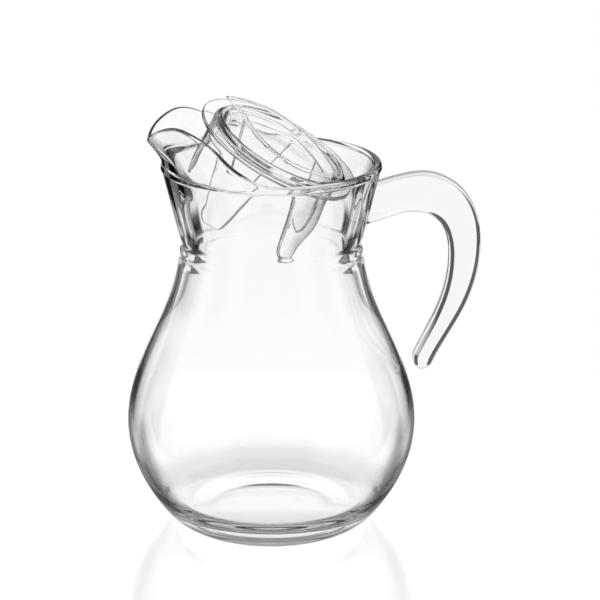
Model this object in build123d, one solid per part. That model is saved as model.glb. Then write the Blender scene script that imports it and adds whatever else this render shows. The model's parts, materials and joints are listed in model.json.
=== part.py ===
from build123d import *
import math
import os

# A pressed and blown glass pitcher of about 1.8 litres with a loose clear plastic lid lying
# askew in its mouth. Millimetres, +Z up. The origin is the centre of the foot, on the surface
# that the jug stands on. The pouring spout points to -X and the handle to +X.

# Heights of the cuts between the glass stretches
floor_z = 9.0            # inside floor, above the surface the jug stands on
heel_z = 30.0            # where the heel's tight curve ends
belly_z = 64.0           # just above the widest level of the bowl
shoulder_z = 102.0       # where the bowl turns from convex to hollow
neck_z = 142.0           # where the bowl ends and the neck begins
parting_z = 192.0        # parting line between collar and rim
rim_z = 195.0            # plane of the plain part of the rim
tallest_z = 220.0        # top of the stock that the spout's lips are cut from

# Foot and bowl, as (radius, height)
foot_radius = 43.5
punt_radius = 38.5       # inside edge of the ring the jug stands on
punt_rise = 2.2          # how far the underside domes up inside that ring
bowl_outside = [(50.2, 2.6), (61.6, 14.8), (71.0, 32.0), (75.6, 55.0), (72.0, 77.0),
                (63.3, 99.0), (54.2, 120.5), (48.4, neck_z)]
floor_edge = (33.0, floor_z)
bowl_inside = [(41.0, 9.7), (50.0, 12.0), (57.0, 16.0), (62.4, 21.5), (67.9, 31.5), (73.2, 55.0),
               (69.8, 77.0), (65.9, 88.0), (61.0, 98.5), (55.9, 108.0), (50.2, 118.5), (43.6, 138.0)]

# Neck and collar
neck_outside = [(47.1, 145.4), (47.5, 148.0), (46.5, 151.5), (47.8, 156.5)]
collar_top_radius = 56.4
collar_inside = [(41.4, 148.5), (41.8, 156.0), (44.2, 166.0), (47.0, 176.5), (49.6, 184.5), (52.4, parting_z)]

# Rim and spout. Each section is (height, outer radius, beak reach, side pinch, wall).
rim_sections = [(parting_z, 56.9, 0.0, 0.0, 4.5),
                (rim_z, 56.3, 0.2, 1.5, 3.7),
                (199.5, 56.2, 2.4, 5.5, 3.0),
                (203.0, 56.2, 5.4, 8.6, 2.7),
                (207.3, 56.2, 8.9, 10.6, 2.5),
                (213.0, 56.2, 14.0, 11.3, 2.4),
                (tallest_z, 56.2, 20.5, 11.5, 2.4)]
beak_angle = 16.0        # angular half-width of the beak
pinch_angle = 52.0       # how far round from the tip the side walls pinch in most
pinch_spread = 22.0
section_points = 48
# Top edge of the lips seen from the side, as (x, height), from the tip back to the rim
lip_line = [(-65.4, 207.0), (-62.6, 211.0), (-57.5, 214.8), (-48.5, 217.8), (-39.4, 215.4),
            (-29.0, 209.6), (-20.0, 204.0), (-11.0, 199.0), (0.0, rim_z)]

# Handle, an open hook of flat-sided bar. Outline points as (x, height).
handle_width = 13.0
handle_round = 3.4
handle_outer = [(46.0, 181.0), (66.0, 187.4), (81.0, 189.0), (100.8, 177.4), (108.2, 152.0),
                (101.0, 118.4), (83.9, 86.2)]
handle_tip = (77.2, 83.4)
handle_inner = [(74.4, 91.6), (81.4, 106.3), (87.9, 122.2), (91.6, 144.0), (86.3, 163.2),
                (73.0, 168.6), (60.0, 165.3), (44.0, 159.8)]

# Lid. Its own frame has +Z out of its top face and +X down its slope.
lid_centre = (4.2, 0.0, 200.8)
lid_lean = 29.0          # tilt of the lid from level
lid_heading = -16.0      # compass direction that it tilts towards, from +X
lid_radius = 44.5
flange_half = 1.0        # half the flange's thickness
well_radius = 32.0
well_depth = 3.2         # from the flange's mid plane down to the well's floor
floor_thickness = 1.8
crest_height = 3.6
crest_radius = 33.8
skirt_radius = 37.9
skirt_depth = 7.5
skin = 2.2               # wall of skirt and legs
leg_length = 40.5        # from the flange's mid plane to the tips
leg_tip_radius = 34.1
leg_top_width = 30.0
leg_tip_width = 13.0
leg_corner = 3.2
leg_count = 5
first_leg = 186.0        # from the direction down the slope
grip_turn = -15.0
grip_thickness = 2.4
grip_half_length = 41.0
grip_tip_height = 5.2
grip_top = 16.3
grip_seat = 9.0          # half-length of the grip's seat on the well's floor
window_half_length = 27.0
window_end_height = 4.2
window_top = 9.9
window_bottom = -1.9


def in_xz(points):
    return [Vector(x, 0, z) for x, z in points]


def spun(lines):
    """The solid swept by a closed outline in the XZ plane turning about the Z axis."""
    return revolve(make_face(Wire(lines)), axis=Axis.Z, revolution_arc=360)


def chain(points):
    """Straight lines joining the points in turn."""
    corners = in_xz(points)
    return [Line(a, b) for a, b in zip(corners, corners[1:])]


def smooth(points, start, end):
    """A spline through (x, height) points with given directions at its two ends."""
    ends = [(start[0], 0, start[1]), (end[0], 0, end[1])]
    return Spline(*in_xz(points), tangents=ends, tangent_scalars=(1, 1))


def glass_outside():
    foot = (foot_radius, 0)
    neck_foot = bowl_outside[-1]
    bowl = smooth([foot, *bowl_outside], (1, 0.12), (-0.16, 1))
    neck = smooth([neck_foot, *neck_outside], (-0.16, 1), (0.25, 1))
    punt = ThreePointArc((0, 0, punt_rise), (punt_radius * 0.55, 0, punt_rise * 0.7), (punt_radius, 0, 0))
    ring = Line((punt_radius, 0, 0), (foot_radius, 0, 0))
    rest = chain([neck_outside[-1], (collar_top_radius, parting_z), (0, parting_z), (0, punt_rise)])
    return spun([punt, ring, bowl, neck, *rest])


def glass_inside():
    throat = bowl_inside[-1]
    wall = smooth([floor_edge, *bowl_inside], (1, 0.02), (-0.3, 1))
    collar = smooth([throat, *collar_inside], (-0.3, 1), (0.38, 1))
    rest = chain([collar_inside[-1], (0, parting_z), (0, floor_z), floor_edge])
    return spun([wall, collar, *rest])


def slab(low, high):
    size = 400
    return Pos(0, 0, (low + high) / 2) * Box(size, size, high - low)


def rim_wall(section, inset):
    """A closed curve round the wall at one height, with the beak at -X."""
    height, radius, reach, pinch, wall = section
    points = []
    for k in range(section_points):
        turn = 360 * k / section_points
        from_tip = abs(180 - turn)
        beak = reach * math.exp(-((from_tip / beak_angle) ** 2))
        squeeze = pinch * math.exp(-(((from_tip - pinch_angle) / pinch_spread) ** 2))
        r = radius + beak - squeeze - inset * wall
        a = math.radians(turn)
        points.append(Vector(r * math.cos(a), r * math.sin(a), height))
    return make_face(Wire([Spline(*points, periodic=True)]))


def rim_and_spout():
    outside = loft([rim_wall(s, 0) for s in rim_sections])
    inside = loft([rim_wall(s, 1) for s in rim_sections])
    lips = smooth(lip_line, (0.4, 1), (1, 0))
    start, end = lip_line[0], lip_line[-1]
    high, wide = 230, 80
    above = chain([end, (wide, rim_z), (wide, high), (-wide, high), (-wide, start[1]), start])
    cutter = extrude(make_face(Wire([lips, *above])), amount=100, dir=(0, 1, 0), both=True)
    return outside - inside - cutter


def handle(glass):
    outer = Spline(*in_xz(handle_outer))
    inner = Spline(*in_xz(handle_inner))
    tip = ThreePointArc(in_xz([handle_outer[-1]])[0], in_xz([handle_tip])[0], in_xz([handle_inner[0]])[0])
    root = Line(in_xz([handle_inner[-1]])[0], in_xz([handle_outer[0]])[0])
    face = make_face(Wire([outer, tip, inner, root]))
    bar = extrude(face, amount=handle_width / 2, dir=(0, 1, 0), both=True)
    long_edges = [e for e in bar.edges() if abs(abs(e.center().Y) - handle_width / 2) < 0.01
                  and e.center().X > 50]
    return fillet(long_edges, handle_round) - glass


def lid_plate():
    """Flange, raised crest and sunken well, turned about the lid's own axis."""
    floor = -well_depth
    under = floor - floor_thickness
    edge = 0.5
    return spun(chain([(0, under), (well_radius - 1, under), (well_radius + 1.2, under + 1.4),
                       (well_radius + 1.8, -flange_half), (lid_radius - edge, -flange_half),
                       (lid_radius, edge - flange_half), (lid_radius, flange_half - edge),
                       (lid_radius - edge, flange_half), (crest_radius + 2.5, flange_half),
                       (crest_radius + 1.3, crest_height - edge), (crest_radius, crest_height),
                       (crest_radius - 0.8, crest_height - edge), (well_radius, 0),
                       (well_radius - 1, floor + edge), (well_radius - 2, floor), (0, floor), (0, under)]))


def lid_wall():
    """The thin cone that the skirt and the legs are both cut from."""
    top = (skirt_radius, -flange_half)
    low = (leg_tip_radius + skin, -leg_length)
    return spun(chain([(top[0] - skin, top[1]), top, low, (low[0] - skin, low[1]), (top[0] - skin, top[1])]))


def lid_leg(angle):
    """One tapered leg with rounded bottom corners."""
    half_top = leg_top_width / 2
    half_tip = leg_tip_width / 2
    outline = Polyline((-half_top, -skirt_depth), (half_top, -skirt_depth), (half_tip, -leg_length),
                       (-half_tip, -leg_length), close=True)
    face = make_face(Wire(outline.edges()))
    corners = face.vertices().sort_by(Axis.Y)[:2]
    tooth = extrude(fillet(corners, leg_corner), amount=60)
    upright = Plane(origin=(0, 0, 0), x_dir=(0, 1, 0), z_dir=(1, 0, 0))
    return lid_wall() & (Rot(0, 0, angle) * (upright * tooth))


def lid_grip():
    """An upright leaf across the well with an eye-shaped finger window through it."""
    floor = -well_depth
    left = (-grip_half_length, grip_tip_height)
    right = (grip_half_length, grip_tip_height)
    over_crest = (crest_radius, crest_height + 0.5)
    into_well = (20.0, -1.0)
    top = ThreePointArc(left, (0, grip_top), right)
    lower_right = Spline(right, over_crest, into_well, (grip_seat, floor))
    seat = Line((grip_seat, floor), (-grip_seat, floor))
    lower_left = Spline((-grip_seat, floor), (-into_well[0], into_well[1]), (-over_crest[0], over_crest[1]), left)
    leaf = make_face(Wire([top, lower_right, seat, lower_left]))
    eye_left = (-window_half_length, window_end_height)
    eye_right = (window_half_length, window_end_height)
    window = make_face(Wire([ThreePointArc(eye_left, (0, window_top), eye_right),
                             ThreePointArc(eye_left, (0, window_bottom), eye_right)]))
    blade = extrude(leaf - window, amount=grip_thickness / 2, both=True)
    upright = Plane(origin=(0, 0, 0), x_dir=(1, 0, 0), z_dir=(0, -1, 0))
    return Rot(0, 0, grip_turn) * (upright * blade)


def lid_pose():
    lean = math.radians(lid_lean)
    heading = math.radians(lid_heading)
    out = (math.sin(lean) * math.cos(heading), math.sin(lean) * math.sin(heading), math.cos(lean))
    down = (math.cos(lean) * math.cos(heading), math.cos(lean) * math.sin(heading), -math.sin(lean))
    return Plane(origin=lid_centre, x_dir=down, z_dir=out)


def all_parts():
    solid = glass_outside()
    shell = solid - glass_inside()
    rim = rim_and_spout()
    parts = {"glass_base": shell & slab(-1, floor_z),
             "glass_heel": shell & slab(floor_z, heel_z),
             "glass_bowl_lower": shell & slab(heel_z, belly_z),
             "glass_bowl_upper": shell & slab(belly_z, shoulder_z),
             "glass_shoulder": shell & slab(shoulder_z, neck_z),
             "glass_neck_collar": shell & slab(neck_z, parting_z),
             "glass_rim_spout": rim,
             "glass_handle": handle(solid)}
    lid = {"lid_plate": lid_plate(),
           "lid_skirt": lid_wall() & slab(-skirt_depth, 0),
           "lid_grip": lid_grip()}
    for k in range(leg_count):
        lid[f"lid_leg_{k + 1}"] = lid_leg(first_leg + k * 360 / leg_count)
    pose = lid_pose()
    for name, piece in lid.items():
        parts[name] = pose * piece
    return parts


os.makedirs("parts", exist_ok=True)
for name, piece in all_parts().items():
    export_step(piece, f"parts/{name}.step")
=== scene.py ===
import bpy
import bmesh
import json
import math
import numpy as np
from mathutils import Matrix, Vector


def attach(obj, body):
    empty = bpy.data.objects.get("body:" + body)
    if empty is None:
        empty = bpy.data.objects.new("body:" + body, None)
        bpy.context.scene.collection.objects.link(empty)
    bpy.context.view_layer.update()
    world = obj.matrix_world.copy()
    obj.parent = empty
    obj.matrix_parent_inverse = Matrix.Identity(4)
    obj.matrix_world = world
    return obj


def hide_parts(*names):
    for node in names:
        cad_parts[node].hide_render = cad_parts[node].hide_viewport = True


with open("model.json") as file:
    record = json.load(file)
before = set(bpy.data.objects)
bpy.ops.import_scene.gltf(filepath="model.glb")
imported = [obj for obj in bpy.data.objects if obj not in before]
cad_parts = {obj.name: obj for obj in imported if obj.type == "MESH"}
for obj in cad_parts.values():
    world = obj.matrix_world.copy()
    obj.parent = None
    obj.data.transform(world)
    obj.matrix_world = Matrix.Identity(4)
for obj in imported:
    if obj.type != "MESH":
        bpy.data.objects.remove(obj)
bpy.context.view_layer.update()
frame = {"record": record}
MM = 0.001


# ---------------------------------------------------------------- curves
SMOOTH_HALF = 78    # half the angle, in degrees, above which a corner counts as smooth
LONGEST_BACK = 1.35    # how far a rounding may reach back, in gaps to the nearer neighbour
CLOSEST = 0.05    # outline points nearer than this are left out


def spline(points, start, end, steps):
    """Points along a smooth curve through the given ones, with given directions at its ends."""
    p = np.array(points, float)
    n = len(p)
    gaps = np.linalg.norm(np.diff(p, axis=0), axis=1)
    t = np.concatenate([[0], np.cumsum(gaps)])
    a = np.zeros((n, n))
    b = np.zeros_like(p)
    a[0, 0] = a[-1, -1] = 1
    b[0] = np.array(start, float) / np.linalg.norm(start)
    b[-1] = np.array(end, float) / np.linalg.norm(end)
    for i in range(1, n - 1):
        before, after = gaps[i - 1], gaps[i]
        a[i, i - 1:i + 2] = after, 2 * (before + after), before
        b[i] = 3 * (after * (p[i] - p[i - 1]) / before + before * (p[i + 1] - p[i]) / after)
    slope = np.linalg.solve(a, b)
    s = np.linspace(0, t[-1], steps + 1)
    k = np.clip(np.searchsorted(t, s, side="right") - 1, 0, n - 2)
    h = gaps[k][:, None]
    u = ((s - t[k]) / gaps[k])[:, None]
    return ((2 * u ** 3 - 3 * u ** 2 + 1) * p[k] + (u ** 3 - 2 * u ** 2 + u) * h * slope[k]
            + (3 * u ** 2 - 2 * u ** 3) * p[k + 1] + (u ** 3 - u ** 2) * h * slope[k + 1])


def arc(centre, radius, start, end, steps):
    """Points on an arc in degrees, counterclockwise from +X when end is the larger."""
    a = np.radians(np.linspace(start, end, steps + 1))
    return np.stack([centre[0] + radius * np.cos(a), centre[1] + radius * np.sin(a)], 1)


def line(a, b, steps):
    """Evenly spaced points on a straight line."""
    f = np.linspace(0, 1, steps + 1)[:, None]
    return np.array(a) * (1 - f) + np.array(b) * f


def joined(*runs):
    """Runs of points end to end, with each shared end kept once."""
    rows = [runs[0]]
    for run in runs[1:]:
        skip = 1 if np.linalg.norm(rows[-1][-1] - run[0]) < 1e-6 else 0
        rows.append(run[skip:])
    return np.concatenate(rows)


def rounded(corners, radii, step=0.35):
    """An open line through corners, with an arc of its own radius at each inner one."""
    out = [np.array(corners[0], float)]
    for i in range(1, len(corners) - 1):
        a, b, c = (np.array(corners[k], float) for k in (i - 1, i, i + 1))
        u, v = (a - b) / np.linalg.norm(a - b), (c - b) / np.linalg.norm(c - b)
        half = math.acos(max(-1.0, min(1.0, float(u @ v)))) / 2
        r = radii[i]
        if r <= 0:
            out.append(b)
            continue
        back = r / math.tan(half)
        mid = b + (u + v) / np.linalg.norm(u + v) * r / math.sin(half)
        first, last = b + u * back, b + v * back
        turns = max(3, int(r * (math.pi - 2 * half) / step))
        a0 = math.atan2(*(first - mid)[::-1])
        a1 = math.atan2(*(last - mid)[::-1])
        sweep = (a1 - a0 + math.pi) % (2 * math.pi) - math.pi
        for k in range(turns + 1):
            q = a0 + sweep * k / turns
            out.append(mid + r * np.array([math.cos(q), math.sin(q)]))
    out.append(np.array(corners[-1], float))
    return np.array(out)


def refined(points, step):
    """The same line with no gap between points longer than the step."""
    rows = [points[0]]
    for a, b in zip(points, points[1:]):
        n = max(1, int(math.ceil(np.linalg.norm(b - a) / step)))
        rows += [a + (b - a) * k / n for k in range(1, n + 1)]
    return np.array(rows)


def arc_through(a, b, c, steps):
    """Points on the arc from a through b to c."""
    (ax, ay), (bx, by), (cx, cy) = a, b, c
    d = 2 * (ax * (by - cy) + bx * (cy - ay) + cx * (ay - by))
    aa, bb, cc = ax ** 2 + ay ** 2, bx ** 2 + by ** 2, cx ** 2 + cy ** 2
    ux = (aa * (by - cy) + bb * (cy - ay) + cc * (ay - by)) / d
    uy = (aa * (cx - bx) + bb * (ax - cx) + cc * (bx - ax)) / d
    r = math.hypot(ax - ux, ay - uy)
    start, mid, end = (math.degrees(math.atan2(y - uy, x - ux)) for x, y in (a, b, c))
    sweep = (end - start) % 360
    if not (mid - start) % 360 < sweep:
        sweep -= 360
    return arc((ux, uy), r, start, start + sweep, steps)


def closed_rounded(loop, radius):
    """A closed outline with its sharp corners rounded. Points on its smooth stretches stay."""
    pts = loop[:-1] if np.linalg.norm(loop[0] - loop[-1]) < 1e-6 else loop
    n = len(pts)
    out = []
    for i in range(n):
        a, b, c = pts[i - 1], pts[i], pts[(i + 1) % n]
        u, v = (a - b) / np.linalg.norm(a - b), (c - b) / np.linalg.norm(c - b)
        half = math.acos(max(-1.0, min(1.0, float(u @ v)))) / 2
        if half > math.radians(SMOOTH_HALF):
            out.append(b)
            continue
        near = min(np.linalg.norm(a - b), np.linalg.norm(c - b))
        back = min(radius / math.tan(half), LONGEST_BACK * near)
        first, last = b + u * back, b + v * back
        out += [first * (1 - f) ** 2 + 2 * b * f * (1 - f) + last * f ** 2 for f in np.linspace(0, 1, 7)]
    keep = []
    for p in out:
        if not keep or np.linalg.norm(p - keep[-1]) > CLOSEST:
            keep.append(p)
    return keep


def resampled(points, count):
    """The same line with evenly spaced points."""
    gaps = np.linalg.norm(np.diff(points, axis=0), axis=1)
    along = np.concatenate([[0], np.cumsum(gaps)])
    even = np.linspace(0, along[-1], count)
    return np.stack([np.interp(even, along, points[:, k]) for k in range(2)], 1)


def tip_to_tip(loop, count):
    """A closed outline as evenly spaced points, over the top from its left end and back underneath."""
    pts = np.array(loop)
    left, right = int(np.argmin(pts[:, 0])), int(np.argmax(pts[:, 0]))
    pts = np.roll(pts, -left, 0)
    right = (right - left) % len(pts)
    first = pts[:right + 1]
    second = np.concatenate([pts[right:], pts[:1]])
    return np.concatenate([resampled(first, count)[:-1], resampled(second, count)[:-1]])


# ---------------------------------------------------------------- meshes
# in metres: points this close become one, and edges this short go
GRID_WELD, GRID_SLIVER, PLATE_WELD = 2e-7, 1e-8, 2e-6


def grid_mesh(name, rings):
    """A mesh through closed rings of points, in millimetres.
    A first and last ring that are one repeated point, or the same ring, close it."""
    count = len(rings[0])
    verts = [tuple(p) for ring in rings for p in ring]
    faces = []
    for i in range(len(rings) - 1):
        for j in range(count):
            k = (j + 1) % count
            faces.append((i * count + j, i * count + k, (i + 1) * count + k, (i + 1) * count + j))
    mesh = bpy.data.meshes.new(name)
    mesh.from_pydata([Vector(v) * MM for v in verts], [], faces)
    bm = bmesh.new()
    bm.from_mesh(mesh)
    bmesh.ops.remove_doubles(bm, verts=bm.verts, dist=GRID_WELD)
    bmesh.ops.dissolve_degenerate(bm, edges=bm.edges, dist=GRID_SLIVER)
    bmesh.ops.recalc_face_normals(bm, faces=bm.faces)
    bm.to_mesh(mesh)
    bm.free()
    obj = bpy.data.objects.new(name, mesh)
    bpy.context.scene.collection.objects.link(obj)
    return obj


def turned(name, outline, steps=288):
    """A closed surface turned from (radius, height) points that start and end on the axis."""
    rings = []
    for r, z in outline:
        a = np.linspace(0, 2 * math.pi, steps, endpoint=False)
        rings.append(np.stack([r * np.cos(a), r * np.sin(a), np.full(steps, z)], 1))
    return grid_mesh(name, rings)


def united(obj, *others):
    """obj joined to the others as one closed surface, with no walls left inside."""
    for other in others:
        m = obj.modifiers.new("join", "BOOLEAN")
        m.operation = "UNION"
        m.solver = "MANIFOLD"
        m.object = other
    bpy.context.view_layer.update()
    graph = bpy.context.evaluated_depsgraph_get()
    mesh = bpy.data.meshes.new_from_object(obj.evaluated_get(graph))
    obj.modifiers.clear()
    obj.data = mesh
    for other in others:
        bpy.data.objects.remove(other)
    return obj


def smooth_shaded(obj, angle=40):
    """Smooth shading with edges sharper than the angle, in degrees, kept crisp."""
    for p in obj.data.polygons:
        p.use_smooth = True
    obj.data.set_sharp_from_angle(angle=math.radians(angle))
    weights = obj.modifiers.new("weights", "WEIGHTED_NORMAL")
    weights.keep_sharp = True


# ---------------------------------------------------------------- glass body, in millimetres
FOOT = (43.5, 0.0)
NECK = (48.4, 142.0)
PARTING = 192.0
RIM = 195.0
BOWL_OUT = [FOOT, (50.2, 2.6), (61.6, 14.8), (71.0, 32.0), (75.6, 55.0), (72.0, 77.0), (63.3, 99.0),
            (54.2, 120.5), NECK]
FLOOR_TOP = 9.0
WAIST_IN = (43.6, 138.0)
BOWL_IN = [(26.0, FLOOR_TOP), (35.0, 9.2), (43.0, 10.1), (50.5, 12.2), (57.0, 16.0), (62.4, 21.5),
           (67.9, 31.5), (73.2, 55.0), (69.8, 77.0), (65.9, 88.0), (61.0, 98.5), (55.9, 108.0),
           (50.2, 118.5), WAIST_IN]
COLLAR_IN = [(52.5, PARTING), (49.6, 184.5), (47.0, 176.5), (44.2, 166.0), (41.8, 156.0), (41.4, 148.5),
             WAIST_IN]
UNDERSIDE = [(0.0, 2.0), (14.0, 1.75), (28.0, 0.85), (39.0, 0.06), (41.5, 0.0), FOOT]
NECK_OUT = [NECK, (47.1, 145.4), (47.5, 148.0), (46.5, 151.5), (47.8, 156.5)]
COLLAR_TOP = (56.4, PARTING - 0.4)
# height, outer radius, beak reach, side pinch, wall
RIM_SECTIONS = np.array([(PARTING, 56.9, 0.0, 0.0, 4.5), (RIM, 56.3, 0.2, 1.5, 3.7),
                         (199.5, 56.2, 2.4, 5.5, 3.0), (203.0, 56.2, 5.4, 8.6, 2.7),
                         (207.3, 56.2, 8.9, 10.6, 2.5), (213.0, 56.2, 14.0, 11.3, 2.4),
                         (220.0, 56.2, 20.5, 11.5, 2.4)])
# the lips' top line from the side, as (x, height), from the spout's tip back to the level rim
LIP = [(-65.4, 207.0), (-62.6, 211.0), (-57.5, 214.8), (-48.5, 217.8), (-39.4, 215.4), (-29.0, 209.6),
       (-20.0, 204.0), (-11.0, 199.0), (0.0, RIM)]
LIP_SEARCH_TOP = 219.5
BEAK_ANGLE, PINCH_ANGLE, PINCH_SPREAD = 16.0, 52.0, 22.0    # degrees from the spout's tip
LIP_TAPER, LIP_RISE = 1.2, 6.0    # the lips' rounded edge gets this much taller over this rise
LIP_SLOPE = 1.2    # the most that the inner and the outer top line differ in height
# size in mm, waves round the collar and start in radians
RIPPLES = [(0.035, 17, 0.4), (0.025, 29, 1.9), (0.012, 43, 3.1)]
RIPPLE_HEIGHTS = (143.0, 150.0, 184.0, 191.0)    # they fade in and out between these pairs
TURNS = 480
WALL_ROWS, EDGE_ROWS, AVERAGED = 26, 11, 9


def section_at(height):
    """Radius, reach, pinch and wall at a height, smoothly between the stated sections."""
    rows = spline(RIM_SECTIONS, (1, -0.2, 0.02, 0.3, -0.25), (1, 0, 0.93, 0, 0), 280)
    return [np.interp(height, rows[:, 0], rows[:, k]) for k in range(1, 5)]


def rim_radius(turn, height, inner):
    """Radius of the rim's wall at an angle in degrees from the spout's tip."""
    radius, reach, pinch, wall = section_at(height)
    beak = np.exp(-((turn / BEAK_ANGLE) ** 2))
    squeeze = (np.exp(-(((turn - PINCH_ANGLE) / PINCH_SPREAD) ** 2))
               + np.exp(-(((turn + PINCH_ANGLE) / PINCH_SPREAD) ** 2)))
    return radius + reach * beak - pinch * squeeze - inner * wall


def lip_heights(turn, inner):
    """Height at which the wall meets the lips' top line, for each angle from the tip."""
    curve = spline(LIP, (0.4, 1), (1, 0), 400)
    away = np.cos(np.radians(turn))
    heights = np.linspace(RIM, LIP_SEARCH_TOP, 600)
    found = np.full(len(turn), RIM)
    for i, c in enumerate(away):
        if c <= 0.02:
            continue
        x = -rim_radius(turn[i], heights, inner) * c
        limit = np.interp(x, curve[:, 0], curve[:, 1], left=LIP[0][1], right=RIM)
        below = heights <= limit + 1e-9
        last = np.argmin(below) if not below.all() else len(below)
        found[i] = heights[max(0, last - 1)]
    return found


def ripple(angle):
    """The slight unevenness, in millimetres, that pressing leaves round the inside of the collar."""
    return sum(size * np.sin(waves * angle + start) for size, waves, start in RIPPLES)


def averaged(values):
    """Each value averaged with its neighbours round the ring."""
    side = AVERAGED // 2
    looped = np.concatenate([values[-side:], values, values[:side]])
    return np.convolve(looped, np.ones(AVERAGED) / AVERAGED, "valid")


def outer_profile():
    """(radius, height) points up the outside, from the axis below to the parting line."""
    under = spline(UNDERSIDE, (1, 0), (1, 0.05), 60)
    bowl = spline(BOWL_OUT, (1, 0.12), (-0.16, 1), 190)
    neck = spline(NECK_OUT, (-0.16, 1), (0.25, 1), 34)
    return joined(under, bowl, neck, line(NECK_OUT[-1], COLLAR_TOP, 34))


def inner_profile():
    """(radius, height) points down the inside, from the parting line to the axis."""
    shaft = spline(COLLAR_IN, (-0.38, -1), (0.3, -1), 70)
    bowl = spline(BOWL_IN, (1, 0), (-0.3, 1), 190)[::-1]
    return joined(shaft, bowl, line(BOWL_IN[0], (0.0, FLOOR_TOP), 14))


def glass_body():
    """Bowl, collar, rim and spout as one closed surface of rings, up the outside and down the inside."""
    turn = np.linspace(-180, 180, TURNS, endpoint=False)
    direction = np.radians(180 + turn)
    cos, sin = np.cos(direction), np.sin(direction)

    def ring(radius, height):
        radius = np.broadcast_to(radius, turn.shape)
        return np.stack([radius * cos, radius * sin, np.broadcast_to(height, turn.shape)], 1)

    rings = [ring(r, z) for r, z in outer_profile()]
    # rim and spout
    top_out = averaged(lip_heights(turn, 0))
    top_in = averaged(lip_heights(turn, 1))
    top_in = top_out + LIP_SLOPE * np.tanh((top_in - top_out) / LIP_SLOPE)
    wall = rim_radius(turn, top_out, 0) - rim_radius(turn, top_in, 1)
    depth = wall / 2 + LIP_TAPER * np.clip((top_out - RIM) / LIP_RISE, 0, 1)
    edge_out, edge_in = top_out - depth, top_in - depth
    for f in np.linspace(0, 1, WALL_ROWS):
        z = PARTING + (edge_out - PARTING) * f
        rings.append(ring(rim_radius(turn, z, 0), z))
    base_out, base_in = rim_radius(turn, edge_out, 0), rim_radius(turn, edge_in, 1)
    middle, reach = (base_out + base_in) / 2, (base_out - base_in) / 2
    for a in np.radians(np.linspace(15, 165, EDGE_ROWS)):
        z = (edge_out + edge_in) / 2 + (edge_out - edge_in) / 2 * math.cos(a) + depth * math.sin(a)
        rings.append(ring(middle + reach * math.cos(a), z))
    for f in np.linspace(0, 1, WALL_ROWS)[::-1]:
        z = PARTING + (edge_in - PARTING) * f
        rings.append(ring(rim_radius(turn, z, 1), z))
    for r, z in inner_profile()[1:]:
        share = np.interp(z, RIPPLE_HEIGHTS, (0.0, 1.0, 1.0, 0.0))
        rings.append(ring(r + share * ripple(direction), z))
    return grid_mesh("glass_jug", rings)


# ---------------------------------------------------------------- handle
HANDLE_OUTER = [(50.0, 182.6), (66.0, 187.4), (81.0, 189.0), (100.8, 177.4), (108.2, 152.0), (101.0, 118.4),
                (83.9, 86.2)]
HANDLE_INNER = [(74.4, 91.6), (81.4, 106.3), (87.9, 122.2), (91.6, 144.0), (86.3, 163.2), (73.0, 168.6),
                (60.0, 165.3), (46.5, 160.8)]
HANDLE_TIP = (77.2, 83.4)
HANDLE_WIDTH, HANDLE_ROUND = 13.0, 4.6


def plate_shape(name, loops, thickness, rounding, steps):
    """A flat shape of even thickness with rounded edges, from closed outlines in its own XY plane.
    Its thickness is centred on z = 0."""
    curve = bpy.data.curves.new(name, "CURVE")
    curve.dimensions = "2D"
    curve.fill_mode = "BOTH"
    for loop in loops:
        s = curve.splines.new("POLY")
        s.points.add(len(loop) - 1)
        for p, (x, y) in zip(s.points, loop):
            p.co = (x * MM, y * MM, 0, 1)
        s.use_cyclic_u = True
    curve.bevel_depth = rounding * MM
    curve.bevel_resolution = steps
    curve.offset = -rounding * MM
    curve.extrude = (thickness / 2 - rounding) * MM
    obj = bpy.data.objects.new(name, curve)
    bpy.context.scene.collection.objects.link(obj)
    bpy.context.view_layer.update()
    mesh = bpy.data.meshes.new_from_object(obj.evaluated_get(bpy.context.evaluated_depsgraph_get()))
    bpy.data.objects.remove(obj)
    bm = bmesh.new()
    bm.from_mesh(mesh)
    bmesh.ops.remove_doubles(bm, verts=bm.verts, dist=PLATE_WELD)
    bmesh.ops.recalc_face_normals(bm, faces=bm.faces)
    bm.to_mesh(mesh)
    bm.free()
    out = bpy.data.objects.new(name, mesh)
    bpy.context.scene.collection.objects.link(out)
    return out


def moved(obj, matrix):
    """obj with its mesh moved by a matrix."""
    obj.data.transform(matrix)
    return obj


def handle():
    """The open hook, drawn from the side and given its width."""
    outer = spline(HANDLE_OUTER, (1, 0.32), (-0.45, -1), 170)
    inner = spline(HANDLE_INNER, (0.45, 1), (-1, -0.32), 160)
    tip = spline([HANDLE_OUTER[-1], HANDLE_TIP, HANDLE_INNER[0]], (-0.45, -1), (0.45, 1), 22)
    loop = joined(outer, tip, inner)
    obj = plate_shape("glass_handle_bar", [loop], HANDLE_WIDTH, HANDLE_ROUND, 6)
    # the curve's XY plane becomes the row's XZ plane
    turn = Matrix(((1, 0, 0, 0), (0, 0, -1, 0), (0, 1, 0, 0), (0, 0, 0, 1)))
    return moved(obj, turn)


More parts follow.
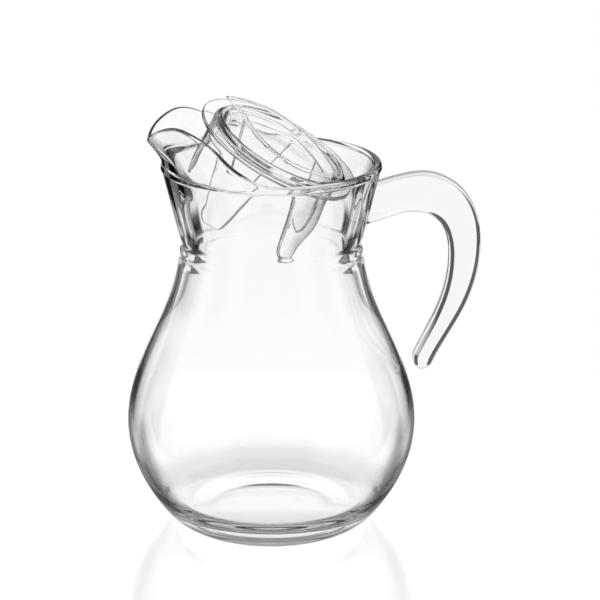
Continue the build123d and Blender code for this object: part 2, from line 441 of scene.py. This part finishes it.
# ---------------------------------------------------------------- lid, in its own frame
LID_CENTRE = Vector((4.2, 0.0, 200.8))
LID_LEAN, LID_HEADING = 29.0, -16.0
LID_RADIUS, FLANGE_HALF = 44.5, 1.0
WELL_UNDER, WELL_TOP, CREST_TOP = -5.0, -3.2, 3.6
SKIRT_OUTER, SKIN, SKIRT_DEPTH = 37.9, 2.2, 7.5
WALL_TOP = -0.4    # inside the flange
UNROLLED_AT = 36.0    # radius at which the legs' outline is laid out
LEG_LENGTH, LEG_TIP_INNER, LEG_TOP, LEG_TIP = 40.5, 34.1, 30.0, 13.0
LEG_COUNT, FIRST_LEG = 5, 186.0
LEG_ROUND = 2.2    # how far the rounded edge reaches out
LEG_INSET = LEG_ROUND - 0.4    # how far the outline is drawn in to leave room for it
LEG_ROWS = 26
GRIP_TURN = -15.0
LEAF_THICK, LEAF_SOFT, LEAF_TAPER = 2.4, 1.05, 1.9    # soft is the edge's rounding, taper its width
LEAF_TIP, LEAF_TOP = (41.0, 5.2), 16.3
EYE_END, EYE_TOP, EYE_LOW = (27.0, 4.2), 9.9, -1.9
LEAF_POINTS = 110    # on each half of either outline


def lid_disc():
    """Flange, crest and sunken well."""
    corners = [(0, WELL_UNDER), (31.6, WELL_UNDER), (33.8, -FLANGE_HALF), (LID_RADIUS, -FLANGE_HALF),
               (LID_RADIUS, FLANGE_HALF), (37.0, FLANGE_HALF), (35.2, CREST_TOP), (33.2, CREST_TOP),
               (31.0, WELL_TOP), (0, WELL_TOP)]
    radii = [0, 2.4, 0.6, 0.7, 0.7, 1.4, 1.0, 1.0, 2.0, 0]
    return turned("lid_disc", refined(rounded(corners, radii, 0.2), 1.6))


def leg_edge():
    """The lower edge of one leg's share of the wall, as (distance round, height), and that share."""
    share = 2 * math.pi * UNROLLED_AT / LEG_COUNT
    top, tip = LEG_TOP / 2 - LEG_INSET, LEG_TIP / 2 - LEG_INSET
    high, low = LEG_INSET - SKIRT_DEPTH, LEG_INSET - LEG_LENGTH
    corners = [(-share / 2, high), (-top, high), (-tip, low), (tip, low), (top, high), (share / 2, high)]
    return refined(rounded(corners, [0, 3.0, 3.2, 3.2, 3.0, 0], 0.5), 1.0), share


def wall_loop():
    """The whole wall's lower edge, as its angles and its heights."""
    edge, share = leg_edge()
    loop = []
    for k in range(LEG_COUNT):
        mid = math.radians(FIRST_LEG + 360 / LEG_COUNT * k)
        for along, height in edge[:-1]:
            loop.append((mid + along / share * 2 * math.pi / LEG_COUNT, height))
    return np.array(loop).T


def edge_normals(angle, low):
    """The outward direction of the lower edge at each point, in the unrolled wall."""
    flat = np.stack([np.unwrap(angle) * UNROLLED_AT, low], 1)
    ahead, behind = np.roll(flat, -1, 0), np.roll(flat, 1, 0)
    ahead[-1, 0] += 2 * math.pi * UNROLLED_AT
    behind[0, 0] -= 2 * math.pi * UNROLLED_AT
    run = ahead - behind
    run /= np.linalg.norm(run, axis=1)[:, None]
    return run[:, 1], -run[:, 0]


def wall_radius(height):
    """Outer radius of the tapering wall."""
    taper = LEG_TIP_INNER + SKIN - SKIRT_OUTER
    return SKIRT_OUTER + taper * (-height - FLANGE_HALF) / (LEG_LENGTH - FLANGE_HALF)


def wall_ring(angle, height, inward):
    radius = wall_radius(height) - inward
    return np.stack([radius * np.cos(angle), radius * np.sin(angle), height], 1)


def lid_wall():
    """Skirt and legs as one thin cone with a shaped lower edge."""
    angle, low = wall_loop()
    sideways, upward = edge_normals(angle, low)
    rings = []
    for f in np.linspace(0, 1, LEG_ROWS):
        rings.append(wall_ring(angle, WALL_TOP + (low - WALL_TOP) * f, 0))
    for a in np.radians(np.linspace(0, 180, 9))[1:-1]:
        push = LEG_ROUND * math.sin(a)
        inward = SKIN / 2 * (1 - math.cos(a))
        rings.append(wall_ring(angle + sideways * push / UNROLLED_AT, low + upward * push, inward))
    for f in np.linspace(1, 0, LEG_ROWS):
        rings.append(wall_ring(angle, WALL_TOP + (low - WALL_TOP) * f, SKIN))
    rings.append(rings[0])
    return grid_mesh("lid_wall", rings)


def leaf_outline():
    """The leaf's outer outline from the side, with its foot sunk into the well."""
    x, z = LEAF_TIP
    top = arc_through((-x, z), (0, LEAF_TOP), LEAF_TIP, 60)
    under = [LEAF_TIP, (33.8, 4.15), (20.0, -1.0), (11.0, -3.4), (8.0, -4.6)]
    right = spline(under, (-1, -0.1), (-0.4, -1), 34)
    left = right[::-1] * np.array([-1, 1])
    return tip_to_tip(closed_rounded(joined(top, right, left), 0.9), LEAF_POINTS)


def eye_outline():
    """The window's outline, with as many points as the leaf's."""
    x, z = EYE_END
    top = arc_through((-x, z), (0, EYE_TOP), EYE_END, 44)
    low = arc_through(EYE_END, (0, EYE_LOW), (-x, z), 44)
    return tip_to_tip(closed_rounded(joined(top, low), 0.5), LEAF_POINTS)


def lid_leaf():
    """The grip: an upright leaf with an eye-shaped window, as rings round its soft-edged band."""
    leaf, eye = leaf_outline(), eye_outline()
    across = eye - leaf
    width = np.linalg.norm(across, axis=1)[:, None]
    across = across / width
    rim = LEAF_THICK / 2 - LEAF_SOFT
    rings = []
    for at_window, centre, start in ((0, rim, 180), (1, rim, 90), (1, -rim, 0), (0, -rim, -90)):
        for q in np.radians(np.linspace(start, start - 90, 5)):
            base = width - LEAF_TAPER if at_window else np.full_like(width, LEAF_TAPER)
            p = leaf + across * (base + LEAF_TAPER * math.cos(q))
            side = np.full(len(p), centre + LEAF_SOFT * math.sin(q))
            rings.append(np.stack([p[:, 0], side, p[:, 1]], 1))
    rings.append(rings[0])
    obj = grid_mesh("lid_leaf", rings)
    return moved(obj, Matrix.Rotation(math.radians(GRIP_TURN), 4, "Z"))


def lid_matrix():
    """Where the lid lies askew in the mouth."""
    lean, head = math.radians(LID_LEAN), math.radians(LID_HEADING)
    out = Vector((math.sin(lean) * math.cos(head), math.sin(lean) * math.sin(head), math.cos(lean)))
    down = Vector((math.cos(lean) * math.cos(head), math.cos(lean) * math.sin(head), -math.sin(lean)))
    side = out.cross(down)
    m = Matrix((down, side, out)).transposed().to_4x4()
    m.translation = LID_CENTRE * MM
    return m


jug = united(glass_body(), handle())
jug.name = "glass_jug"
smooth_shaded(jug)
lid = united(lid_disc(), lid_wall(), lid_leaf())
lid.name = "lid_moulding"
moved(lid, lid_matrix())
smooth_shaded(lid, 35)


# ---------------------------------------------------------------- materials
def math_node(tree, operation, a, b=None, c=None, clamp=False):
    """The output of a Math node fed by numbers or sockets."""
    node = tree.nodes.new("ShaderNodeMath")
    node.operation = operation
    node.use_clamp = clamp
    for socket, value in zip(node.inputs, (a, b, c)):
        if value is None:
            continue
        if isinstance(value, (int, float)):
            socket.default_value = value
        else:
            tree.links.new(value, socket)
    return node.outputs[0]


def ramp_node(tree, value, stops, interpolation="EASE"):
    """A grey ramp through (position, brightness) stops."""
    node = tree.nodes.new("ShaderNodeValToRGB")
    node.color_ramp.interpolation = interpolation
    elements = node.color_ramp.elements
    while len(elements) > 1:
        elements.remove(elements[-1])
    elements[0].position = stops[0][0]
    elements[0].color = (stops[0][1],) * 3 + (1,)
    for position, bright in stops[1:]:
        elements.new(position).color = (bright,) * 3 + (1,)
    tree.links.new(value, node.inputs[0])
    return node.outputs[0]


# each painted shade is two ramps: the share of black painted in by how nearly edge on a surface is seen, and
# how strongly that shows by height in metres, as the object stands at rest. The black is painted shade for
# the dark edges of thick glass and plastic
GLASS_EDGE = [(0.45, 0.0), (0.56, 0.04), (0.66, 0.11), (0.72, 0.30), (0.78, 0.50), (0.88, 0.50), (1.0, 0.46)]
GLASS_HEIGHT = [(0.0, 0.15), (0.010, 0.22), (0.020, 0.80), (0.030, 1.0), (0.048, 0.72), (0.075, 0.68),
                (0.100, 0.22), (0.150, 0.12), (0.166, 0.30), (0.180, 0.62), (0.230, 0.62)]
# painted shade on the jug's thick heel
HEEL_EDGE = [(0.50, 0.0), (0.58, 0.10), (0.65, 0.34), (0.70, 0.50), (0.80, 0.50), (1.0, 0.40)]
HEEL_HEIGHT = [(0.012, 0.0), (0.020, 1.0), (0.040, 1.0), (0.056, 0.0)]
# painted shade on the thick ring at the foot of the collar
LEDGE_EDGE = [(0.46, 0.0), (0.53, 0.55), (0.64, 0.55), (0.70, 0.0)]
LEDGE_HEIGHT = [(0.150, 0.0), (0.1525, 1.0), (0.161, 1.0), (0.165, 0.0)]
# painted shade where the lid's surfaces are seen edge on
PLASTIC_EDGE = [(0.70, 0.0), (0.80, 0.45), (1.0, 0.55)]
ALL_HEIGHTS = [(0.0, 1.0)]
# painted shade along the lower edges of the lid's legs
LEG_EDGE = [(0.40, 0.0), (0.72, 0.40), (1.0, 0.60)]
LEG_HEIGHT = [(0.176, 1.0), (0.190, 0.0)]
GLASS_PAINTED_SHADE = [(GLASS_EDGE, GLASS_HEIGHT), (HEEL_EDGE, HEEL_HEIGHT), (LEDGE_EDGE, LEDGE_HEIGHT)]
PLASTIC_PAINTED_SHADE = [(PLASTIC_EDGE, ALL_HEIGHTS), (LEG_EDGE, LEG_HEIGHT)]
# how strongly the painted shade's black is mixed in
PAINTED_SHADE_STRENGTH = 1.6
TALLEST = 0.25    # height in metres at the ramps' end
BENDING = 1.5
GLASS_DENSITY, PLASTIC_DENSITY = 8.0, 6.0
ABSORBED = (0.5, 0.5, 0.5, 1)


def clear_material(name, density, painted_shade_pairs):
    """A clear solid that absorbs a little light, mixed with black where it is seen edge on.
    The black is painted shade standing in for the dark edges of thick glass. It follows the view."""
    mat = bpy.data.materials.new(name)
    mat.use_nodes = True
    tree = mat.node_tree
    nodes, links = tree.nodes, tree.links
    shader = nodes["Principled BSDF"]
    facing = nodes.new("ShaderNodeLayerWeight")
    facing.inputs["Blend"].default_value = 0.5
    # black diffuse, mixed in as painted shade where surfaces are seen edge on
    dark = nodes.new("ShaderNodeBsdfDiffuse")
    dark.inputs["Color"].default_value = (0, 0, 0, 1)
    mix = nodes.new("ShaderNodeMixShader")
    split = nodes.new("ShaderNodeSeparateXYZ")
    links.new(nodes.new("ShaderNodeTexCoord").outputs["Object"], split.inputs[0])
    height = math_node(tree, "DIVIDE", split.outputs[2], TALLEST)
    total = None
    for by_edge, by_height in painted_shade_pairs:
        edge = ramp_node(tree, facing.outputs["Facing"], by_edge, "LINEAR")
        stops = [(z / TALLEST, value) for z, value in by_height]
        level = ramp_node(tree, height, stops, "LINEAR")
        edge_shade = math_node(tree, "MULTIPLY", edge, level)
        total = edge_shade if total is None else math_node(tree, "MAXIMUM", total, edge_shade)
    # the strongest painted shade sets how much black is mixed over the clear shader
    links.new(math_node(tree, "MULTIPLY", total, PAINTED_SHADE_STRENGTH), mix.inputs[0])
    links.new(shader.outputs[0], mix.inputs[1])
    links.new(dark.outputs[0], mix.inputs[2])
    links.new(mix.outputs[0], nodes["Material Output"].inputs["Surface"])
    shader.inputs["Base Color"].default_value = (1, 1, 1, 1)
    shader.inputs["Roughness"].default_value = 0.0
    shader.inputs["IOR"].default_value = BENDING
    shader.inputs["Transmission Weight"].default_value = 1.0
    inside = nodes.new("ShaderNodeVolumeAbsorption")
    inside.inputs["Color"].default_value = ABSORBED
    inside.inputs["Density"].default_value = density
    links.new(inside.outputs["Volume"], nodes["Material Output"].inputs["Volume"])
    return mat


glass = clear_material("clear_glass", GLASS_DENSITY, GLASS_PAINTED_SHADE)
plastic = clear_material("clear_plastic", PLASTIC_DENSITY, PLASTIC_PAINTED_SHADE)
for obj, mat in ((jug, glass), (lid, plastic)):
    obj.data.materials.clear()
    obj.data.materials.append(mat)

bodies = frame["record"]["behaviour"]["bodies"]
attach(jug, "jug")
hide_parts(*bodies["jug"])
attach(lid, "lid")
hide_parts(*bodies["lid"])


# ---------------------------------------------------------------- stage
# how dark the white studio is, by angle in degrees from +Y round the horizon or from the horizon up
GAPS = [(15.0, 0.0), (17.5, 1.0), (35.0, 1.0), (37.5, 0.0), (52.5, 0.0), (55.0, 1.0), (79.0, 1.0),
        (83.0, 0.0), (97.0, 0.0), (105.0, 0.35), (120.0, 0.35), (128.0, 0.0), (142.0, 0.0), (150.0, 0.35),
        (180.0, 0.35)]
GAP_HEIGHT = [(10.0, 1.0), (24.0, 0.0)]
BAND = [(16.0, 1.0), (24.0, 0.0)]
BAND_HEIGHT = [(27.0, 0.0), (32.0, 1.0), (55.0, 1.0), (68.0, 0.0)]
BELOW = [(-52.0, 0.8), (-42.0, 0.0)]
DARKEST = 0.05    # brightness where a gap or band is full
FLOOR_MIRROR, FLOOR_ROUGH = 0.24, 0.18
FLOOR_GLOW = 0.78
FLOOR_RADIUS, FLOOR_FADE = 0.16, 0.12
FLOOR_DROP, FLOOR_SIDES = 0.00005, 128
CAMERA_ELEVATION, CAMERA_DISTANCE, AIM_HEIGHT = 17.3, 1.39, 0.120
CAMERA_LENS, CAMERA_SENSOR, CAMERA_SHIFT, CAMERA_NEAR = 160, 36, 0.0478, 0.01
BOUNCES, GLOSSY_BOUNCES = 24, 12


def round_ramp(tree, share, stops):
    """A ramp by angle from +Y, fed by that angle as a share of half a turn."""
    return ramp_node(tree, share, [(angle / 180, value) for angle, value in stops])


def height_ramp(tree, share, stops):
    """A ramp by angle from the horizon, fed by the upward part of the direction as 0 to 1."""
    shares = [(0.5 + 0.5 * math.sin(math.radians(angle)), value) for angle, value in stops]
    return ramp_node(tree, share, shares)


def studio():
    """White all round, but for dark gaps beside the white panel at +Y, a dark band over it and a dark
    patch far below."""
    world = bpy.data.worlds.new("studio")
    world.use_nodes = True
    tree = world.node_tree
    split = tree.nodes.new("ShaderNodeSeparateXYZ")
    tree.links.new(tree.nodes.new("ShaderNodeTexCoord").outputs["Generated"], split.inputs[0])
    x, y, z = split.outputs
    aside = math_node(tree, "ABSOLUTE", math_node(tree, "ARCTAN2", x, y))
    aside = math_node(tree, "DIVIDE", aside, math.pi)
    height = math_node(tree, "MULTIPLY_ADD", z, 0.5, 0.5)
    dark = height_ramp(tree, height, BELOW)
    for by_side, by_height in ((GAPS, GAP_HEIGHT), (BAND, BAND_HEIGHT)):
        patch = math_node(tree, "MULTIPLY", round_ramp(tree, aside, by_side),
                          height_ramp(tree, height, by_height))
        dark = math_node(tree, "MAXIMUM", dark, patch)
    lit = math_node(tree, "MULTIPLY_ADD", dark, DARKEST - 1, 1.0)
    tree.links.new(lit, tree.nodes["Background"].inputs["Color"])
    bpy.context.scene.world = world


def floor_material():
    """Glossy white that glows softly and fades out towards the rim."""
    mat = bpy.data.materials.new("floor")
    mat.use_nodes = True
    tree = mat.node_tree
    shader = tree.nodes["Principled BSDF"]
    shader.inputs["Metallic"].default_value = 1.0
    shader.inputs["Base Color"].default_value = (FLOOR_MIRROR,) * 3 + (1,)
    shader.inputs["Roughness"].default_value = FLOOR_ROUGH
    shader.inputs["Emission Color"].default_value = (1, 1, 1, 1)
    shader.inputs["Emission Strength"].default_value = FLOOR_GLOW
    length = tree.nodes.new("ShaderNodeVectorMath")
    length.operation = "LENGTH"
    tree.links.new(tree.nodes.new("ShaderNodeTexCoord").outputs["Object"], length.inputs[0])
    out = math_node(tree, "SUBTRACT", length.outputs["Value"], FLOOR_RADIUS)
    fade = math_node(tree, "DIVIDE", out, FLOOR_FADE, clamp=True)
    mix = tree.nodes.new("ShaderNodeMixShader")
    tree.links.new(fade, mix.inputs[0])
    tree.links.new(shader.outputs[0], mix.inputs[1])
    tree.links.new(tree.nodes.new("ShaderNodeBsdfTransparent").outputs[0], mix.inputs[2])
    tree.links.new(mix.outputs[0], tree.nodes["Material Output"].inputs["Surface"])
    return mat


def floor():
    """A round table top just under the jug."""
    bm = bmesh.new()
    bmesh.ops.create_circle(bm, cap_ends=True, segments=FLOOR_SIDES, radius=FLOOR_RADIUS + FLOOR_FADE)
    bmesh.ops.translate(bm, verts=bm.verts, vec=(0, 0, -FLOOR_DROP))
    mesh = bpy.data.meshes.new("floor")
    bm.to_mesh(mesh)
    bm.free()
    mesh.materials.append(floor_material())
    obj = bpy.data.objects.new("floor", mesh)
    bpy.context.scene.collection.objects.link(obj)


def viewer():
    """A long lens that looks along +Y and down a little."""
    camera = bpy.data.objects.new("camera", bpy.data.cameras.new("camera"))
    bpy.context.scene.collection.objects.link(camera)
    tilt = math.radians(CAMERA_ELEVATION)
    back, up = CAMERA_DISTANCE * math.cos(tilt), CAMERA_DISTANCE * math.sin(tilt)
    camera.location = (0, -back, AIM_HEIGHT + up)
    camera.rotation_euler = (math.radians(90 - CAMERA_ELEVATION), 0, 0)
    camera.data.lens = CAMERA_LENS
    camera.data.sensor_width = CAMERA_SENSOR
    camera.data.shift_x = CAMERA_SHIFT
    camera.data.clip_start = CAMERA_NEAR
    return camera


floor()
studio()
scene = bpy.context.scene
bpy.context.scene.camera = viewer()
scene.view_settings.view_transform = "Standard"
scene.cycles.max_bounces = BOUNCES
scene.cycles.transmission_bounces = BOUNCES
scene.cycles.glossy_bounces = GLOSSY_BOUNCES
scene.cycles.use_denoising = True
